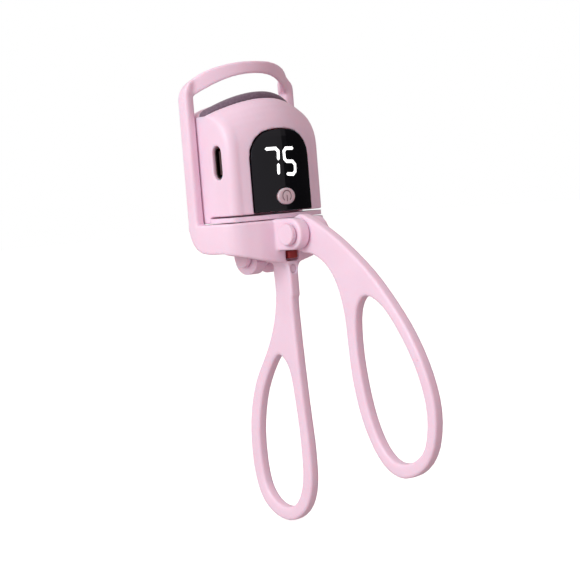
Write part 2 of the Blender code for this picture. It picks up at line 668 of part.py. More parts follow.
def make_front_shell(parent):
    pink = pink_plastic()
    shell = head_solid("front_shell", 0.0, 0.0, 0.0, HEAD_BACK, 31, pink, parent)
    cut(shell,
        head_solid("shell_hollow", HEAD_WALL, HEAD_ROOF, HEAD_FLOOR, HEAD_BACK + 2.0 * MM, 17, pink, parent))
    for side in (-1.0, 1.0):
        low, high = sorted((side * FOOT_INNER, side * (HEAD_HALF - 0.05 * MM)))
        join(shell, box("foot", (low, FOOT_FRONT, FOOT_BOTTOM), (high, HEAD_BACK - 0.1 * MM, 0.6 * MM),
                        pink, parent))
        for x, z in BOSSES:
            join(shell, prism("boss", ellipse(side * x, z, BOSS_RADIUS, BOSS_RADIUS, 20), "Y", -1.2 * MM,
                              HEAD_BACK - 0.1 * MM, pink, parent))
            cut(shell, prism("boss_hole", ellipse(side * x, z, SCREW_HOLE, SCREW_HOLE, 12), "Y", 0.0,
                             8.0 * MM, pink, parent))
        x = side * BRACKET_SCREW_X
        join(shell, prism("floor_boss", ellipse(x, BRACKET_SCREW_Y, 1.9 * MM, 1.9 * MM, 16), "Z",
                          0.4 * MM, 2.6 * MM, pink, parent))
        cut(shell, prism("floor_hole", ellipse(x, BRACKET_SCREW_Y, SCREW_HOLE, SCREW_HOLE, 12), "Z",
                         -2.0 * MM, 2.1 * MM, pink, parent))
        low, high = sorted((side * (HEAD_HALF - RIB_DEPTH), side * (HEAD_HALF + MM)))
        cut(shell, box("guide_groove", (low, RIB_Y - RIB_HALF - SEAM, -5.0 * MM),
                       (high, RIB_Y + RIB_HALF + SEAM, 40.0 * MM), pink, parent))
    cut(shell, prism("window_cut", window_outline(0.25 * MM), "Y", -20.0 * MM, -11.0 * MM, pink, parent),
        prism("usb_cut", stadium(USB_Y, USB_Z, USB_WIDTH / 2 + SEAM, USB_LENGTH / 2 + SEAM), "X",
              -20.0 * MM, -12.0 * MM, pink, parent),
        jaw_strip("pad_seat", PAD_HALF + SEAM, -SEAM, PAD_DEPTH + 2 * SEAM, PAD_BOTTOM - SEAM,
                  PAD_TOP + 6.0 * MM, pink, parent),
        jaw_strip("plate_way", PLATE_HALF + SEAM, 0.3 * MM, 3.1 * MM, 20.0 * MM, PAD_TOP, pink, parent))
    finish_smooth(shell)


def make_rear_cover(parent):
    pink = pink_plastic()
    top = [(x, arch(x, HEAD_HALF, HEAD_TOP, HEAD_TOP + HEAD_TOP_RISE) - 0.3 * MM, 0.0)
           for x in spaced(14.0 * MM, -14.0 * MM, 9)]
    outline = ([(-HEAD_HALF, FOOT_BOTTOM, 1.5 * MM), (HEAD_HALF, FOOT_BOTTOM, 1.5 * MM),
                (HEAD_HALF, HEAD_TOP - 0.3 * MM, 2.5 * MM)] + top
               + [(-HEAD_HALF, HEAD_TOP - 0.3 * MM, 2.5 * MM)])
    cover = prism("rear_cover", rounded(outline), "Y", HEAD_BACK + SEAM, HEAD_BACK + COVER_THICKNESS, pink,
                  parent, 0.6 * MM)
    for side in (-1.0, 1.0):
        for x, z in BOSSES:
            cut(cover,
                prism("cover_hole", ellipse(side * x, z, SCREW_HOLE, SCREW_HOLE, 12), "Y", 0.0, 9.0 * MM,
                      pink, parent),
                prism("cover_recess", ellipse(side * x, z, SCREW_RECESS, SCREW_RECESS, 20), "Y",
                      HEAD_BACK + 1.6 * MM, 9.0 * MM, pink, parent))
    finish_smooth(cover)


def make_cover_screws(parent):
    index = 1
    for side in (-1.0, 1.0):
        for x, z in BOSSES:
            screw("cover_screw_%d" % index, (side * x, z), "Y", 0.6 * MM, HEAD_BACK + 1.9 * MM,
                  HEAD_BACK + COVER_THICKNESS - 0.2 * MM, SCREW_HEAD, SCREW_SHANK, parent)
            index += 1


def make_window(parent):
    gloss = black_gloss()
    window = head_solid("display_window", -0.1 * MM, 0.0, -1.0 * MM, 2.0 * MM, 31, gloss, parent)
    cut(window,
        head_solid("window_back", WINDOW_THICKNESS, WINDOW_THICKNESS, -3.0 * MM, 4.0 * MM, 23, gloss, parent))
    keep(window, prism("window_shape", window_outline(0.0), "Y", -20.0 * MM, -10.5 * MM, gloss, parent))
    cut(window, prism("button_hole",
                      ellipse(0.0, BUTTON_Z, BUTTON_WIDE + 0.2 * MM, BUTTON_TALL + 0.2 * MM, 28), "Y",
                      -20.0 * MM, -10.0 * MM, gloss, parent))
    finish_smooth(window)


def make_power_button(parent):
    button = prism("power_button", ellipse(0.0, BUTTON_Z, BUTTON_WIDE, BUTTON_TALL, 32), "Y",
                   HEAD_FRONT - 0.45 * MM, HEAD_FRONT + 1.6 * MM, rose_plastic(), parent, 0.2 * MM)
    join(button, prism("button_post", ellipse(0.0, BUTTON_Z, 0.9 * MM, 0.9 * MM, 16), "Y",
                       HEAD_FRONT + 1.2 * MM, SWITCH_FRONT - 0.55 * MM, rose_plastic(), parent))
    finish_smooth(button)


def make_electronics(parent):
    box("control_board", (-BOARD_HALF, BOARD_FRONT, 1.8 * MM), (BOARD_HALF, BOARD_BACK, 20.5 * MM),
        board_green(), parent)
    dark = material("module_black", (0.02, 0.02, 0.02), 0.4)
    box("display_module", (-7.6 * MM, -13.2 * MM, 8.6 * MM), (7.6 * MM, BOARD_FRONT - SEAM, 20.0 * MM),
        dark, parent, 0.3 * MM)
    switch = box("power_switch", (-SWITCH_HALF, -11.5 * MM, BUTTON_Z - 1.7 * MM),
                 (SWITCH_HALF, BOARD_FRONT - SEAM, BUTTON_Z + 1.7 * MM), dark, parent)
    join(switch, prism("switch_plunger", ellipse(0.0, BUTTON_Z, 0.8 * MM, 0.8 * MM, 16), "Y",
                       SWITCH_FRONT, -11.2 * MM, dark, parent))
    cell = material("cell_foil", (0.55, 0.57, 0.6), 0.35, 0.8)
    box("battery", (-8.6 * MM, -7.6 * MM, 2.9 * MM), (10.2 * MM, -1.6 * MM, 22.6 * MM), cell, parent,
        0.8 * MM)


def make_usb_socket(parent):
    shell = prism("usb_socket", stadium(USB_Y, USB_Z, USB_WIDTH / 2, USB_LENGTH / 2), "X",
                  -HEAD_HALF + 0.8 * MM, -9.6 * MM, steel(), parent)
    cut(shell, prism("usb_mouth", stadium(USB_Y, USB_Z, USB_WIDTH / 2 - SEAM, USB_LENGTH / 2 - SEAM), "X",
                     -20.0 * MM, -10.4 * MM, steel(), parent))
    join(shell, box("usb_tongue", (-15.6 * MM, USB_Y - 0.35 * MM, USB_Z - 3.3 * MM),
                    (-10.2 * MM, USB_Y + 0.35 * MM, USB_Z + 3.3 * MM), steel(), parent))
    finish_smooth(shell)


def make_heater(parent):
    metal = material("aluminium", (0.72, 0.72, 0.73), 0.35, 1.0)
    film = material("heater_film", (0.45, 0.22, 0.05), 0.4)
    carrier = material("carrier_white", (0.75, 0.72, 0.68), 0.5)
    plate_top = PAD_BOTTOM - SEAM
    plate_low = plate_top - PLATE_THICKNESS
    film_top = plate_low - SEAM
    film_low = film_top - FILM_THICKNESS
    carrier_top = film_low - SEAM
    pad = jaw_strip("lash_pad", PAD_HALF, 0.0, PAD_DEPTH, PAD_BOTTOM, PAD_TOP, dark_silicone(), parent, 25,
                    1.3 * MM)
    finish_smooth(pad)
    jaw_strip("heating_plate", PLATE_HALF, 0.6 * MM, 2.5 * MM, plate_low, plate_top, metal, parent)
    film_half = PLATE_HALF - 0.6 * MM
    jaw_strip("heating_film", film_half, 0.7 * MM, 2.3 * MM, film_low, film_top, film, parent, 17)
    body = jaw_strip("heater_carrier", film_half, 0.6 * MM, 2.5 * MM, carrier_top - CARRIER_THICKNESS,
                     carrier_top, carrier, parent, 17)
    bead_y = PAD_FRONT - PAD_BOW + 1.85 * MM
    bead_top = carrier_top + JAW_RISE
    cut(body, box("bead_pocket", (-1.2 * MM, bead_y - 0.8 * MM, bead_top - 3.0 * MM),
                  (1.2 * MM, bead_y + 0.8 * MM, bead_top + 1.0 * MM), carrier, parent))
    box("thermistor", (-0.8 * MM, bead_y - 0.45 * MM, bead_top - 1.2 * MM),
        (0.8 * MM, bead_y + 0.45 * MM, bead_top - 0.1 * MM),
        material("bead_glass", (0.3, 0.12, 0.05), 0.3), parent, 0.15 * MM)


def make_heater_leads(parent):
    """Two insulated wires from the heater's underside down to the top of the board."""
    wire = material("wire_red", (0.5, 0.03, 0.03), 0.45)
    for index, side in enumerate((-1.0, 1.0), start=1):
        curve = bpy.data.curves.new("heater_lead_%d" % index, "CURVE")
        curve.dimensions = "3D"
        curve.bevel_depth = LEAD_RADIUS
        curve.bevel_resolution = 1
        curve.use_fill_caps = True
        spline = curve.splines.new("POLY")
        spline.points.add(len(LEAD_ROUTE) - 1)
        for point, (x, y, z) in zip(spline.points, LEAD_ROUTE):
            point.co = (side * x * MM, y * MM, z * MM, 1.0)
        curve.materials.append(wire)
        made = bpy.data.objects.new(curve.name, curve)
        bpy.context.collection.objects.link(made)
        made.parent = parent


def make_link_bracket(parent):
    """Base plate under the head's floor with two ears down to the rear pin."""
    pink = pink_plastic()
    bracket = box("link_bracket", (-9.9 * MM, -5.2 * MM, -1.7 * MM), (9.9 * MM, 2.0 * MM, -SEAM), pink,
                  parent)
    neck = [(-5.0 * MM, -1.2 * MM), (-5.2 * MM, -5.0 * MM)]
    left, right = math.radians(200.0), math.radians(-25.0)
    round_end = [(REAR_PIN_Y + LINK_EAR_RADIUS * math.cos(a), REAR_PIN_Z + LINK_EAR_RADIUS * math.sin(a))
                 for a in spaced(left, right + 2.0 * math.pi, 15)]
    outline = neck + round_end + [(1.6 * MM, -5.0 * MM), (1.6 * MM, -1.2 * MM)]
    for side in (-1.0, 1.0):
        low, high = sorted((side * (EAR_INNER + 0.1 * MM), side * EAR_OUTER))
        join(bracket, prism("link_ear", outline, "X", low, high, pink, parent))
        hole = ellipse(side * BRACKET_SCREW_X, BRACKET_SCREW_Y, SCREW_HOLE, SCREW_HOLE, 12)
        cut(bracket, prism("bracket_hole", hole, "Z", -4.0 * MM, 2.0 * MM, pink, parent))
    cut(bracket, bore("rear_bore", REAR_PIN_Y, REAR_PIN_Z, PIN_RADIUS + PIN_PLAY, pink, parent))
    finish_smooth(bracket)
    for index, side in enumerate((-1.0, 1.0), start=1):
        screw("bracket_screw_%d" % index, (side * BRACKET_SCREW_X, BRACKET_SCREW_Y), "Z", 1.7 * MM,
              -2.0 * MM, -2.8 * MM, SCREW_HEAD, SCREW_SHANK, parent)


# ---------------------------------------------------------------- assembly

def main():
    clear_scene()
    frame = body_empty("frame")
    make_main_frame(frame)
    make_deck_plate(frame)
    make_deck_screws(frame)
    make_stop_pad(frame)
    make_stem_plug(frame)
    make_pin("front_pin", FRONT_PIN_Y, FRONT_PIN_Z, frame)
    lever = body_empty("lever")
    make_front_handle(lever)
    head = body_empty("head")
    make_front_shell(head)
    make_rear_cover(head)
    make_cover_screws(head)
    make_window(head)
    make_electronics(head)
    make_usb_socket(head)
    make_heater(head)
    make_heater_leads(head)
    make_link_bracket(head)
    make_pin("rear_pin", REAR_PIN_Y, REAR_PIN_Z, head)
    button = body_empty("button")
    make_power_button(button)


main()
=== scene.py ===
import math

import bpy
import bmesh
from mathutils import Matrix, Vector


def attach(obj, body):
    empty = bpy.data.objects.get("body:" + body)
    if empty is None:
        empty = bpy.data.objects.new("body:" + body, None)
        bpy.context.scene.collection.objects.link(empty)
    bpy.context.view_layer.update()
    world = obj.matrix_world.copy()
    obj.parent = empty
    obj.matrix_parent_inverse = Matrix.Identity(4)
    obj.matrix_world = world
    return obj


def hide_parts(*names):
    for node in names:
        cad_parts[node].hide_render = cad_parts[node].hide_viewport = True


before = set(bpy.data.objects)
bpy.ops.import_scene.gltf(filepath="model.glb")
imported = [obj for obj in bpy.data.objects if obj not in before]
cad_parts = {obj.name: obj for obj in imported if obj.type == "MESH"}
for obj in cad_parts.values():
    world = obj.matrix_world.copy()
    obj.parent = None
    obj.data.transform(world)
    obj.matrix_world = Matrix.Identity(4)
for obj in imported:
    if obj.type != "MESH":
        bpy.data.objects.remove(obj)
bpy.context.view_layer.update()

MM = 0.001
# Design coordinates (as in the part's source) sit this far from the row's origin.
SHIFT = Vector((0.0, 5.5 * MM, 64.0 * MM))

# Shape values shared with the part, in millimetres of the design frame.
JAW_HALF = 17.2
JAW_RISE = 5.5
WINDOW_FRONT = -15.9
WINDOW_RADIUS = 38.0
PAD_FRONT = -2.3
PAD_BOW = 6.9
PAD_DEPTH = 3.7
PAD_LOW = 26.35
PAD_HIGH = 29.1
PAD_HALF = 16.4
BUTTON_Z = 4.35


def at(x, y, z):
    """Row-frame point of a design point in millimetres."""
    return Vector((x * MM, y * MM, z * MM)) + SHIFT


# ------------------------------------------------------------------ materials

def material(name, base, roughness, metallic=0.0, **sockets):
    made = bpy.data.materials.new(name)
    made.use_nodes = True
    shader = made.node_tree.nodes["Principled BSDF"]
    shader.inputs["Base Color"].default_value = (*base, 1.0)
    shader.inputs["Roughness"].default_value = roughness
    shader.inputs["Metallic"].default_value = metallic
    for label, value in sockets.items():
        shader.inputs[label.replace("_", " ")].default_value = value
    return made


def node(mat, kind, **values):
    made = mat.node_tree.nodes.new(kind)
    for label, value in values.items():
        if label in made.inputs:
            made.inputs[label].default_value = value
        else:
            setattr(made, label, value)
    return made


def link(mat, source, target):
    mat.node_tree.links.new(source, target)


def shader_of(mat):
    return mat.node_tree.nodes["Principled BSDF"]


def noise(mat, scale, detail=3.0, roughness=0.5, stretch=(1.0, 1.0, 1.0)):
    """Noise in object space; scale is in features per metre."""
    coords = node(mat, "ShaderNodeTexCoord")
    mapping = node(mat, "ShaderNodeMapping")
    mapping.inputs["Scale"].default_value = stretch
    link(mat, coords.outputs["Object"], mapping.inputs["Vector"])
    texture = node(mat, "ShaderNodeTexNoise", Scale=scale, Detail=detail, Roughness=roughness)
    link(mat, mapping.outputs["Vector"], texture.inputs["Vector"])
    return texture.outputs["Fac"]


def tint(mat, factor, low, high, start=0.3, end=0.7):
    """Base colour between two colours by a factor."""
    ramp = node(mat, "ShaderNodeValToRGB")
    ramp.color_ramp.elements[0].position = start
    ramp.color_ramp.elements[0].color = (*low, 1.0)
    ramp.color_ramp.elements[1].position = end
    ramp.color_ramp.elements[1].color = (*high, 1.0)
    link(mat, factor, ramp.inputs["Fac"])
    link(mat, ramp.outputs["Color"], shader_of(mat).inputs["Base Color"])


def rough(mat, factor, low, high):
    spread = node(mat, "ShaderNodeMapRange")
    for label, value in (("From Min", 0.3), ("From Max", 0.7), ("To Min", low), ("To Max", high)):
        spread.inputs[label].default_value = value
    link(mat, factor, spread.inputs["Value"])
    link(mat, spread.outputs["Result"], shader_of(mat).inputs["Roughness"])


def grain(mat, height, distance, strength, edge=0.0):
    """Bump from a height; edge also rounds the look of sharp edges over that many metres."""
    bump = node(mat, "ShaderNodeBump", Strength=strength, Distance=distance)
    link(mat, height, bump.inputs["Height"])
    if edge:
        soft = node(mat, "ShaderNodeBevel", Radius=edge)
        soft.samples = 6
        link(mat, soft.outputs["Normal"], bump.inputs["Normal"])
    link(mat, bump.outputs["Normal"], shader_of(mat).inputs["Normal"])


def moulded(name, low, high, gloss=(0.34, 0.44), edge=0.35 * MM, glow=0.3):
    """Injection-moulded plastic: faint flow clouds, a fine satin grain, light that soaks in a little."""
    made = material(name, high, gloss[0], Subsurface_Weight=glow, Subsurface_Scale=1.6 * MM, IOR=1.47)
    shader_of(made).inputs["Subsurface Radius"].default_value = (1.0, 0.34, 0.30)
    tint(made, noise(made, 70.0, 4.0, 0.55), low, high)
    rough(made, noise(made, 420.0, 3.0), *gloss)
    grain(made, noise(made, 3200.0, 2.0, 0.6), 0.03 * MM, 0.16, edge)
    return made


def metal(name, low, high, gloss, stretch=(1.0, 1.0, 1.0), scale=1800.0):
    made = material(name, high, gloss[0], 1.0)
    tint(made, noise(made, scale, 3.0, 0.6, stretch), low, high)
    rough(made, noise(made, scale * 1.7, 3.0, 0.6, stretch), *gloss)
    grain(made, noise(made, scale * 2.2, 2.0, 0.5, stretch), 0.01 * MM, 0.25, 0.08 * MM)
    return made


def rubber(name, low, high, scale, gloss=(0.62, 0.8), sheen=0.25):
    made = material(name, low, gloss[0], Sheen_Weight=sheen, Sheen_Roughness=0.5)
    tint(made, noise(made, scale, 5.0, 0.65), low, high)
    rough(made, noise(made, scale * 1.5, 3.0), *gloss)
    grain(made, noise(made, scale * 2.5, 4.0, 0.7), 0.06 * MM, 0.45)
    return made


PINK = moulded("satin_pink_plastic", (0.865, 0.620, 0.755), (0.900, 0.655, 0.790))
ROSE = moulded("rose_plastic", (0.690, 0.530, 0.590), (0.740, 0.575, 0.635), (0.4, 0.5), 0.2 * MM)
# Darker copy of the rose plastic for the engraved sign's groove: painted shade in the recess.
ROSE_GROOVE_SHADE = moulded("rose_groove_painted_shade", (0.250, 0.150, 0.175), (0.300, 0.180, 0.210), (0.5, 0.6), 0.05 * MM)
SILICONE = rubber("plum_silicone", (0.120, 0.068, 0.108), (0.205, 0.135, 0.190), 1500.0)
RED = rubber("red_silicone", (0.250, 0.013, 0.014), (0.340, 0.020, 0.022), 1200.0, (0.45, 0.6), 0.1)
WIRE = rubber("red_wire", (0.420, 0.020, 0.020), (0.520, 0.035, 0.030), 2500.0, (0.35, 0.5), 0.0)
STEEL = metal("plated_steel", (0.50, 0.50, 0.52), (0.66, 0.66, 0.68), (0.24, 0.36), (1.0, 1.0, 6.0))
# Dark brown steel for the usb socket: painted shade inside the slot.
SHADED_SOCKET_STEEL = metal("socket_steel_painted_shade", (0.105, 0.080, 0.078), (0.165, 0.125, 0.120), (0.30, 0.42), (1.0, 1.0, 6.0))
ALUMINIUM = metal("rolled_aluminium", (0.66, 0.66, 0.68), (0.80, 0.80, 0.82), (0.28, 0.42), (8.0, 1.0, 1.0))
FOIL = metal("cell_foil", (0.52, 0.54, 0.58), (0.68, 0.70, 0.74), (0.30, 0.45), (1.0, 1.0, 1.0), 700.0)
CERAMIC = moulded("unglazed_carrier", (0.66, 0.63, 0.58), (0.76, 0.73, 0.69), (0.6, 0.75), 0.1 * MM, 0.0)
BEAD = moulded("epoxy_bead", (0.20, 0.07, 0.03), (0.30, 0.12, 0.05), (0.2, 0.35), 0.1 * MM, 0.0)
DARK = moulded("black_module", (0.015, 0.015, 0.016), (0.03, 0.03, 0.032), (0.35, 0.5), 0.15 * MM, 0.0)
FILM = moulded("amber_film", (0.40, 0.17, 0.03), (0.52, 0.26, 0.06), (0.2, 0.35), 0.05 * MM, 0.0)


def make_black_gloss():
    made = material("black_gloss", (0.003, 0.003, 0.004), 0.1, Coat_Weight=0.2, Coat_Roughness=0.06,
                    Coat_Tint=(0.82, 0.90, 1.0, 1.0), Specular_Tint=(0.80, 0.88, 1.0, 1.0), IOR=1.41)
    tint(made, noise(made, 160.0, 4.0), (0.0012, 0.0013, 0.0026), (0.0026, 0.0028, 0.0046))
    rough(made, noise(made, 900.0, 4.0, 0.6), 0.10, 0.18)
    grain(made, noise(made, 5000.0, 2.0), 0.002 * MM, 0.05, 0.2 * MM)
    return made


def make_board_green():
    """Solder mask over fine copper tracks."""
    made = material("board_green", (0.02, 0.14, 0.06), 0.35)
    coords = node(made, "ShaderNodeTexCoord")
    tracks = node(made, "ShaderNodeTexBrick", Scale=260.0)
    tracks.inputs["Color1"].default_value = (0.018, 0.125, 0.055, 1.0)
    tracks.inputs["Color2"].default_value = (0.024, 0.155, 0.070, 1.0)
    tracks.inputs["Mortar"].default_value = (0.060, 0.260, 0.120, 1.0)
    link(made, coords.outputs["Object"], tracks.inputs["Vector"])
    link(made, tracks.outputs["Color"], shader_of(made).inputs["Base Color"])
    rough(made, noise(made, 1500.0), 0.28, 0.42)
    grain(made, tracks.outputs["Fac"], 0.02 * MM, 0.3)
    return made


def make_digit_light():
    """Lit segment: white light with a faint cell-to-cell unevenness."""
    made = material("digit_light", (0.9, 0.9, 0.9), 0.4)
    ramp = node(made, "ShaderNodeValToRGB")
    ramp.color_ramp.elements[0].color = (0.90, 0.92, 0.95, 1.0)
    ramp.color_ramp.elements[1].color = (1.0, 1.0, 1.0, 1.0)
    link(made, noise(made, 900.0), ramp.inputs["Fac"])
    link(made, ramp.outputs["Color"], shader_of(made).inputs["Emission Color"])
    link(made, ramp.outputs["Color"], shader_of(made).inputs["Base Color"])
    shader_of(made).inputs["Emission Strength"].default_value = 1.15
    return made


BLACK = make_black_gloss()
BOARD = make_board_green()
LIGHT = make_digit_light()

NODE_MATERIALS = {
    "stem_plug": PINK, "lever_stop_pad": RED, "display_window": BLACK, "display_module": DARK,
    # The usb socket's steel is painted dark: painted shade inside its slot.
    "power_switch": DARK, "control_board": BOARD, "battery": FOIL, "usb_socket": SHADED_SOCKET_STEEL,
    "heating_plate": ALUMINIUM, "heating_film": FILM, "heater_carrier": CERAMIC, "thermistor": BEAD,
    "heater_lead_1": WIRE, "heater_lead_2": WIRE,
}


# Grid of the even mesh, and how often it is relaxed.
SOFTENED = {"main_frame": (0.34 * MM, 11), "front_handle": (0.34 * MM, 6), "front_shell": (0.28 * MM, 9)}
RELAX_STEP = 0.5              # share of the way to its neighbours' middle that a point moves each time
FACES_KEPT = 0.35             # share of the even mesh's faces that are left in the end


def dress_cad_nodes():
    """Looks of the engineered pieces; three mouldings also get softer edges and blended joins."""
    for name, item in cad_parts.items():
        chosen = NODE_MATERIALS.get(name, STEEL if "screw" in name else PINK)
        item.data.materials.clear()
        item.data.materials.append(chosen)
        if name in SOFTENED:
            soften(item, *SOFTENED[name])


def soften(item, grid, rounds):
    remesh = item.modifiers.new("even_mesh", "REMESH")
    remesh.mode = "VOXEL"
    remesh.voxel_size = grid
    remesh.use_smooth_shade = True
    relax = item.modifiers.new("relax", "SMOOTH")
    relax.factor = RELAX_STEP
    relax.iterations = rounds
    lighter = item.modifiers.new("lighter", "DECIMATE")
    lighter.ratio = FACES_KEPT


# ------------------------------------------------------------------ mesh helpers

def mesh_object(name, vertices, faces, *surfaces):
    mesh = bpy.data.meshes.new(name)
    mesh.from_pydata([tuple(v) for v in vertices], [], faces)
    for surface in surfaces:
        mesh.materials.append(surface)
    made = bpy.data.objects.new(name, mesh)
    bpy.context.scene.collection.objects.link(made)
    return made


def outward(item):
    work = bmesh.new()
    work.from_mesh(item.data)
    bmesh.ops.recalc_face_normals(work, faces=work.faces)
    work.to_mesh(item.data)
    work.free()


def smooth(item, angle):
    item.data.shade_smooth()
    item.data.set_sharp_from_angle(angle=math.radians(angle))


def loft(name, rings, *surfaces, closed=False):
    """Skin through rings of equal point count, capped at both ends or closed on itself."""
    count, sides = len(rings), len(rings[0])
    spans = count if closed else count - 1
    vertices = [point for ring in rings for point in ring]
    faces = [(i * sides + k, i * sides + (k + 1) % sides, (i + 1) % count * sides + (k + 1) % sides,
              (i + 1) % count * sides + k) for i in range(spans) for k in range(sides)]
    if not closed:
        faces += [tuple(range(sides)), tuple(range((count - 1) * sides, count * sides))]
    made = mesh_object(name, vertices, faces, *surfaces)
    outward(made)
    return made


def turn_steps(sides):
    """Cosine and sine of the angles around a full turn."""
    return [(math.cos(2.0 * math.pi * k / sides), math.sin(2.0 * math.pi * k / sides)) for k in range(sides)]


def cut_away(item, tool, **settings):
    """Exact Boolean difference as a modifier."""
    cut = item.modifiers.new(tool.name, "BOOLEAN")
    cut.operation = "DIFFERENCE"
    cut.object = tool
    cut.solver = "EXACT"
    for label, value in settings.items():
        setattr(cut, label, value)


def apply_modifiers(item):
    graph = bpy.context.evaluated_depsgraph_get()
    baked = bpy.data.meshes.new_from_object(item.evaluated_get(graph))
    item.modifiers.clear()
    item.data = baked


def jaw(x):
    return max(0.0, 1.0 - (x / JAW_HALF) ** 2)


def spaced(low, high, count):
    return [low + (high - low) * k / (count - 1) for k in range(count)]


# ------------------------------------------------------------------ lash pad

PAD_SECTIONS = 61
PAD_AROUND = 20               # points round a section
PAD_ROLL = 1.1                # length of a rolled end
PAD_TIP = 0.35                # share of the full section that is left at the very end
PAD_SQUARE_Y = 0.55           # 1 is an ellipse, less is squarer
PAD_SQUARE_Z = 0.75


def make_lash_pad():
    """Silicone strip along the jaw: a rounded, nearly square section and rolled ends."""
    rings = []
    for x in spaced(-PAD_HALF, PAD_HALF, PAD_SECTIONS):
        end = min(1.0, (PAD_HALF - abs(x)) / PAD_ROLL)
        fill = PAD_TIP + (1.0 - PAD_TIP) * math.sqrt(max(0.0, 1.0 - (1.0 - end) ** 2))
        middle = PAD_FRONT - PAD_BOW * jaw(x) + PAD_DEPTH / 2.0
        low = PAD_LOW + JAW_RISE * jaw(x)
        tall = (PAD_HIGH - PAD_LOW) * fill
        deep = PAD_DEPTH * fill ** 0.5
        rings.append([at(x, middle + deep / 2.0 * math.copysign(abs(c) ** PAD_SQUARE_Y, c),
                         low + tall / 2.0 * (1.0 + math.copysign(abs(s) ** PAD_SQUARE_Z, s)))
                      for c, s in turn_steps(PAD_AROUND)])
    pad = loft("lash_pad_silicone", rings, SILICONE)
    smooth(pad, 60.0)
    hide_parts("lash_pad")
    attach(pad, "head")


STOP_LOW = (-1.6, -16.95, -13.2)
STOP_HIGH = (1.6, -14.4, -10.95)
STOP_EDGE = 0.35 * MM


def make_stop_pad():
    """Red bumper that stands up to the underside of the resting lever."""
    work = bmesh.new()
    bmesh.ops.create_cube(work, size=1.0)
    low, high = at(*STOP_LOW), at(*STOP_HIGH)
    for vertex in work.verts:
        vertex.co = Vector([low[k] + (high[k] - low[k]) * (vertex.co[k] + 0.5) for k in range(3)])
    bmesh.ops.bevel(work, geom=work.edges[:], offset=STOP_EDGE, segments=3, profile=0.5, affect="EDGES")
    mesh = bpy.data.meshes.new("stop_pad_silicone")
    work.to_mesh(mesh)
    work.free()
    mesh.materials.append(RED)
    pad = bpy.data.objects.new("stop_pad_silicone", mesh)
    bpy.context.scene.collection.objects.link(pad)
    smooth(pad, 60.0)
    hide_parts("lever_stop_pad")
    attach(pad, "frame")


# ------------------------------------------------------------------ lit digits

STROKE = 0.46                 # half width of a lit stroke
STROKE_FRONT = -0.035         # its front and back, measured back from the window's face
STROKE_BACK = 0.06
DIGIT_STROKES = {
    "digit_seven_upper": [(-6.05, 17.86), (-2.45, 17.88), (-1.62, 17.05), (-1.82, 14.45)],
    "digit_seven_lower": [(-1.90, 13.72), (-2.08, 10.45)],
    "digit_five": [(4.25, 17.66), (1.25, 17.76), (0.42, 16.95), (0.46, 14.82), (1.25, 14.08), (3.45, 13.98),
                   (4.40, 13.05), (4.30, 11.15), (3.35, 10.36), (0.75, 10.55)],
}


def stroke_sides(path, half):
    """Left and right edges about a path, with mitred bends; the ends are drawn in for their points."""
    points = [Vector(p) for p in path]
    left, right = [], []
    for i, p in enumerate(points):
        before = (p - points[i - 1]).normalized() if i else None
        after = (points[i + 1] - p).normalized() if i < len(points) - 1 else None
        if before is None or after is None:
            run = after if before is None else before
            side = Vector((-run.y, run.x)) * half
            inset = run * half * (1.0 if before is None else -1.0)
            left.append(p + inset + side)
            right.append(p + inset - side)
        else:
            bisector = (before + after).normalized()
            side = Vector((-bisector.y, bisector.x)) * (half / max(0.4, bisector.dot(after)))
            left.append(p + side)
            right.append(p - side)
    return left, right


def make_digits():
    """Each lit stroke is a thin slab on the curved window, pointed at both ends."""
    for name, path in DIGIT_STROKES.items():
        left, right = stroke_sides(path, STROKE)
        outline = [Vector(path[0])] + left + [Vector(path[-1])] + right[::-1]
        count = len(outline)
        bends = len(left)
        vertices = []
        for lift in (STROKE_FRONT, STROKE_BACK):
            for p in outline:
                y = WINDOW_FRONT + p.x ** 2 / (2.0 * WINDOW_RADIUS) + lift
                vertices.append(at(p.x, y, p.y))
        cap = [(0, 1, count - 1), (bends, bends + 1, bends + 2)]
        cap += [(k, k + 1, count - 1 - k, count - k) for k in range(1, bends)]
        faces = cap + [tuple(k + count for k in reversed(face)) for face in cap]
        faces += [(k, k + count, (k + 1) % count + count, (k + 1) % count) for k in range(count)]
        digit = mesh_object(name, vertices, faces, LIGHT)
        outward(digit)
        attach(digit, "head")


# ------------------------------------------------------------------ power button

BUTTON_WIDE = 3.1
BUTTON_TALL = 2.35
BUTTON_FACE = -16.25
BUTTON_ROOT = -14.3
SIGN_RADIUS = (1.55, 1.5)
SIGN_ARC = (-52.0, 232.0)     # degrees; the gap is at the foot
SIGN_BAR = (0.3, -0.6, -1.5)  # heights along the bar, from the button's middle
SIGN_GROOVE = 0.17 * MM


def ring_of(share, y):
    return [at(BUTTON_WIDE * share * c, y, BUTTON_Z + BUTTON_TALL * share * s) for c, s in turn_steps(64)]


def tube(name, path, radius, surface, sides=8):
    """Round rod along a path, with flat ends."""
    rings = []
    for i, p in enumerate(path):
        run = (path[min(i + 1, len(path) - 1)] - path[max(i - 1, 0)]).normalized()
        across = run.cross(Vector((0.0, 1.0, 0.0))).normalized()
        over = across.cross(run).normalized()
        rings.append([p + radius * (across * c + over * s) for c, s in turn_steps(sides)])
    return loft(name, rings, surface)


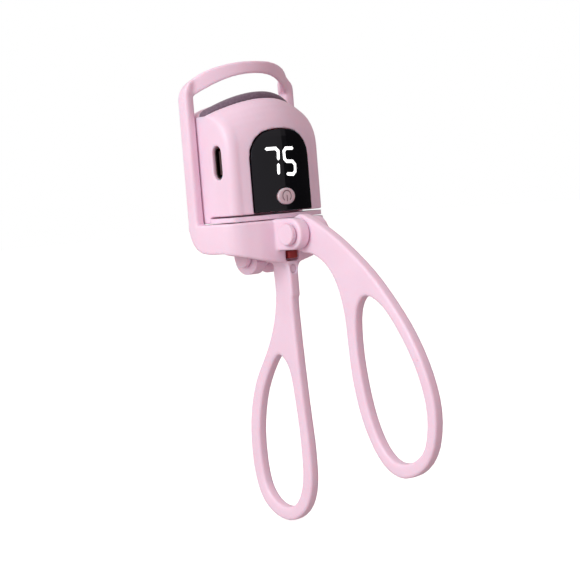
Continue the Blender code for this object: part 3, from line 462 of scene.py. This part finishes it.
def make_button():
    """Oval button with a slightly domed face and an engraved on-off sign, its groove darkened with painted
    shade.
    """
    profile = [(0.92, BUTTON_ROOT), (1.0, BUTTON_ROOT - 0.3), (1.0, BUTTON_FACE + 0.22),
               (0.975, BUTTON_FACE + 0.08), (0.92, BUTTON_FACE), (0.7, BUTTON_FACE - 0.03),
               (0.35, BUTTON_FACE - 0.05)]
    button = loft("button_cap", [ring_of(share, y) for share, y in profile], ROSE, ROSE_GROOVE_SHADE)
    sign_y = BUTTON_FACE - 0.06
    arc = [at(SIGN_RADIUS[0] * math.cos(a), sign_y, BUTTON_Z + 0.05 + SIGN_RADIUS[1] * math.sin(a))
           for a in spaced(math.radians(SIGN_ARC[0]), math.radians(SIGN_ARC[1]), 33)]
    bar = [at(0.0, sign_y, BUTTON_Z + height) for height in SIGN_BAR]
    tools = [tube("sign_arc", arc, SIGN_GROOVE, ROSE_GROOVE_SHADE), tube("sign_bar", bar, SIGN_GROOVE, ROSE_GROOVE_SHADE)]
    for tool in tools:
        cut_away(button, tool, material_mode="TRANSFER")
    apply_modifiers(button)
    for tool in tools:
        bpy.data.objects.remove(tool, do_unlink=True)
    smooth(button, 35.0)
    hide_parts("power_button")
    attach(button, "button")


# ------------------------------------------------------------------ pressed-on ring of the front pin

PIN_Y = -22.6
PIN_Z = -6.2
# Section of the ring, as (radius, x).
RING_PROFILE = [(1.38, 5.8), (3.05, 5.8), (3.05, 6.4), (2.9, 6.62), (2.65, 6.7), (1.38, 6.7)]


def make_pin_ring():
    """Low ring on the lever pin's far end; the pin's tip shows in it."""
    rings = [[at(x, PIN_Y + radius * c, PIN_Z + radius * s) for c, s in turn_steps(48)]
             for radius, x in RING_PROFILE]
    ring = loft("pin_ring", rings, PINK, closed=True)
    smooth(ring, 35.0)
    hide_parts("front_pin_cap")
    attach(ring, "frame")


# ------------------------------------------------------------------ cover screws

SCREW_PLACES = [(side * 13.0, z) for side in (-1.0, 1.0) for z in (3.2, 21.8)]
SCREW_TIP = 0.6
SCREW_SEAT = 6.4
SCREW_CROWN = 7.3
SCREW_HEAD = 1.65             # radius
SCREW_SHANK = 0.65            # radius
RECESS_LONG = 0.95            # half length of a recess arm
RECESS_WIDE = 0.2             # half width
RECESS_DEEP = 0.5


def cross_arm(centre, half_x, half_z):
    """Half of a cross recess: a block sunk into the crown of the head."""
    low = at(centre[0] - half_x, SCREW_CROWN - RECESS_DEEP, centre[1] - half_z)
    high = at(centre[0] + half_x, SCREW_CROWN + RECESS_DEEP, centre[1] + half_z)
    corners = [(x, y, z) for x in (low.x, high.x) for y in (low.y, high.y) for z in (low.z, high.z)]
    faces = [(0, 1, 3, 2), (4, 6, 7, 5), (0, 4, 5, 1), (2, 3, 7, 6), (0, 2, 6, 4), (1, 5, 7, 3)]
    arm = mesh_object("cross_arm", corners, faces, STEEL)
    outward(arm)
    return arm


def make_cover_screws():
    """Pan-head screws with a domed crown and a cross recess."""
    profile = [(SCREW_SHANK * 0.4, SCREW_TIP), (SCREW_SHANK, SCREW_TIP + 0.6), (SCREW_SHANK, SCREW_SEAT),
               (SCREW_HEAD, SCREW_SEAT), (SCREW_HEAD, SCREW_CROWN - 0.35),
               (SCREW_HEAD * 0.9, SCREW_CROWN - 0.12), (SCREW_HEAD * 0.68, SCREW_CROWN)]
    for index, centre in enumerate(SCREW_PLACES, start=1):
        rings = [[at(centre[0] + radius * c, y, centre[1] + radius * s) for c, s in turn_steps(40)]
                 for radius, y in profile]
        screw = loft("cross_screw_%d" % index, rings, STEEL)
        arms = [cross_arm(centre, RECESS_LONG, RECESS_WIDE), cross_arm(centre, RECESS_WIDE, RECESS_LONG)]
        for arm in arms:
            cut_away(screw, arm)
        apply_modifiers(screw)
        for arm in arms:
            bpy.data.objects.remove(arm, do_unlink=True)
        smooth(screw, 35.0)
        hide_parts("cover_screw_%d" % index)
        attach(screw, "head")


# ------------------------------------------------------------------ stage, light and camera

FLOOR_Z = -26.0 * MM
FLOOR_SIZE = 6.0
FLOOR_STEPS = 24
FLOOR_GLOW = 0.60


def make_floor():
    row = FLOOR_STEPS + 1
    places = spaced(-FLOOR_SIZE / 2.0, FLOOR_SIZE / 2.0, row)
    vertices = [Vector((x, y, FLOOR_Z)) for y in places for x in places]
    faces = [(j * row + i, j * row + i + 1, (j + 1) * row + i + 1, (j + 1) * row + i)
             for j in range(FLOOR_STEPS) for i in range(FLOOR_STEPS)]
    pale = material("pale_floor", (0.93, 0.93, 0.93), 0.9)
    tint(pale, noise(pale, 3.0, 2.0), (0.915, 0.915, 0.915), (0.94, 0.94, 0.94))
    shader_of(pale).inputs["Emission Color"].default_value = (1.0, 1.0, 1.0, 1.0)
    shader_of(pale).inputs["Emission Strength"].default_value = FLOOR_GLOW
    floor = mesh_object("floor", vertices, faces, pale)
    floor.visible_diffuse = False
    floor.visible_glossy = False


def spread_over(tree, direction, low, high, to_low, to_high):
    """World strength that runs between two values as the view direction turns towards a direction."""
    coords = tree.nodes.new("ShaderNodeTexCoord")
    dot = tree.nodes.new("ShaderNodeVectorMath")
    dot.operation = "DOT_PRODUCT"
    dot.inputs[1].default_value = Vector(direction).normalized()
    tree.links.new(coords.outputs["Generated"], dot.inputs[0])
    spread = tree.nodes.new("ShaderNodeMapRange")
    for label, value in (("From Min", low), ("From Max", high), ("To Min", to_low), ("To Max", to_high)):
        spread.inputs[label].default_value = value
    tree.links.new(dot.outputs["Value"], spread.inputs["Value"])
    return spread.outputs["Result"]


TENT_COLOUR = (1.0, 0.865, 0.860, 1.0)
BRIGHT_SIDE = (-0.8, -0.1, 0.6)
TENT_DIM = 0.39
TENT_BRIGHT = 0.80
FLAG_SIDE = (0.883, -0.469, 0.0)
FLAG_EDGE = (0.915, 0.945)    # cosines of the angle from its middle where the flag fades in and is full
FLAG_SHARE = 0.12             # light that it lets through


def make_world():
    """Soft tent light: white to the eye, brighter from the left, with a dark flag on the front right."""
    world = bpy.data.worlds.new("tent")
    bpy.context.scene.world = world
    world.use_nodes = True
    tree = world.node_tree
    fill = tree.nodes["Background"]
    output = tree.nodes["World Output"]
    strength = tree.nodes.new("ShaderNodeMath")
    strength.operation = "MULTIPLY"
    tent = spread_over(tree, BRIGHT_SIDE, -1.0, 1.0, TENT_DIM, TENT_BRIGHT)
    flag = spread_over(tree, FLAG_SIDE, *FLAG_EDGE, 1.0, FLAG_SHARE)
    tree.links.new(tent, strength.inputs[0])
    tree.links.new(flag, strength.inputs[1])
    tree.links.new(strength.outputs["Value"], fill.inputs["Strength"])
    fill.inputs["Color"].default_value = TENT_COLOUR
    seen = tree.nodes.new("ShaderNodeBackground")
    seen.inputs["Color"].default_value = (1.0, 1.0, 1.0, 1.0)
    seen.inputs["Strength"].default_value = 1.0
    path = tree.nodes.new("ShaderNodeLightPath")
    mix = tree.nodes.new("ShaderNodeMixShader")
    tree.links.new(path.outputs["Is Camera Ray"], mix.inputs["Fac"])
    tree.links.new(fill.outputs["Background"], mix.inputs[1])
    tree.links.new(seen.outputs["Background"], mix.inputs[2])
    tree.links.new(mix.outputs["Shader"], output.inputs["Surface"])


def area_light(name, place, target, size, power, colour):
    data = bpy.data.lights.new(name, "AREA")
    data.shape = "RECTANGLE"
    data.size, data.size_y = size
    data.energy = power
    data.color = colour
    light = bpy.data.objects.new(name, data)
    bpy.context.scene.collection.objects.link(light)
    light.location = place
    light.rotation_mode = "QUATERNION"
    light.rotation_quaternion = (Vector(target) - Vector(place)).to_track_quat("-Z", "Y")


KEY_PLACE = (-0.67, -0.12, 0.37)
KEY_TARGET = (0.0, -0.010, 0.040)
KEY_SIZE = (0.34, 0.44)
KEY_POWER = 3.4
KEY_COLOUR = (0.82, 1.0, 0.97)


def make_lights():
    area_light("key", KEY_PLACE, KEY_TARGET, KEY_SIZE, KEY_POWER, KEY_COLOUR)


SENSOR = 36.0
LENS = 95.4372
CAMERA_PLACE = (-0.28266, -0.33965, 0.07041)
CAMERA_TURN = (-40.5, 3.7702, 4.6693)         # azimuth, elevation and roll in degrees


def make_camera():
    data = bpy.data.cameras.new("camera")
    data.sensor_width = SENSOR
    data.lens = LENS
    data.clip_start, data.clip_end = 0.01, 20.0
    camera = bpy.data.objects.new("camera", data)
    bpy.context.scene.collection.objects.link(camera)
    azimuth, elevation, roll = (math.radians(angle) for angle in CAMERA_TURN)
    back = Vector((math.sin(azimuth) * math.cos(elevation), -math.cos(azimuth) * math.cos(elevation),
                   math.sin(elevation)))
    level = Vector((math.cos(azimuth), math.sin(azimuth), 0.0))
    up = back.cross(level)
    right = math.cos(roll) * level - math.sin(roll) * up
    top = math.sin(roll) * level + math.cos(roll) * up
    turn = Matrix((right, top, back)).transposed().to_4x4()
    camera.matrix_world = Matrix.Translation(CAMERA_PLACE) @ turn
    bpy.context.scene.camera = camera


bpy.context.scene.view_settings.view_transform = "Standard"
dress_cad_nodes()
make_lash_pad()
make_stop_pad()
make_digits()
make_button()
make_pin_ring()
make_cover_screws()
make_floor()
make_world()
make_lights()
make_camera()
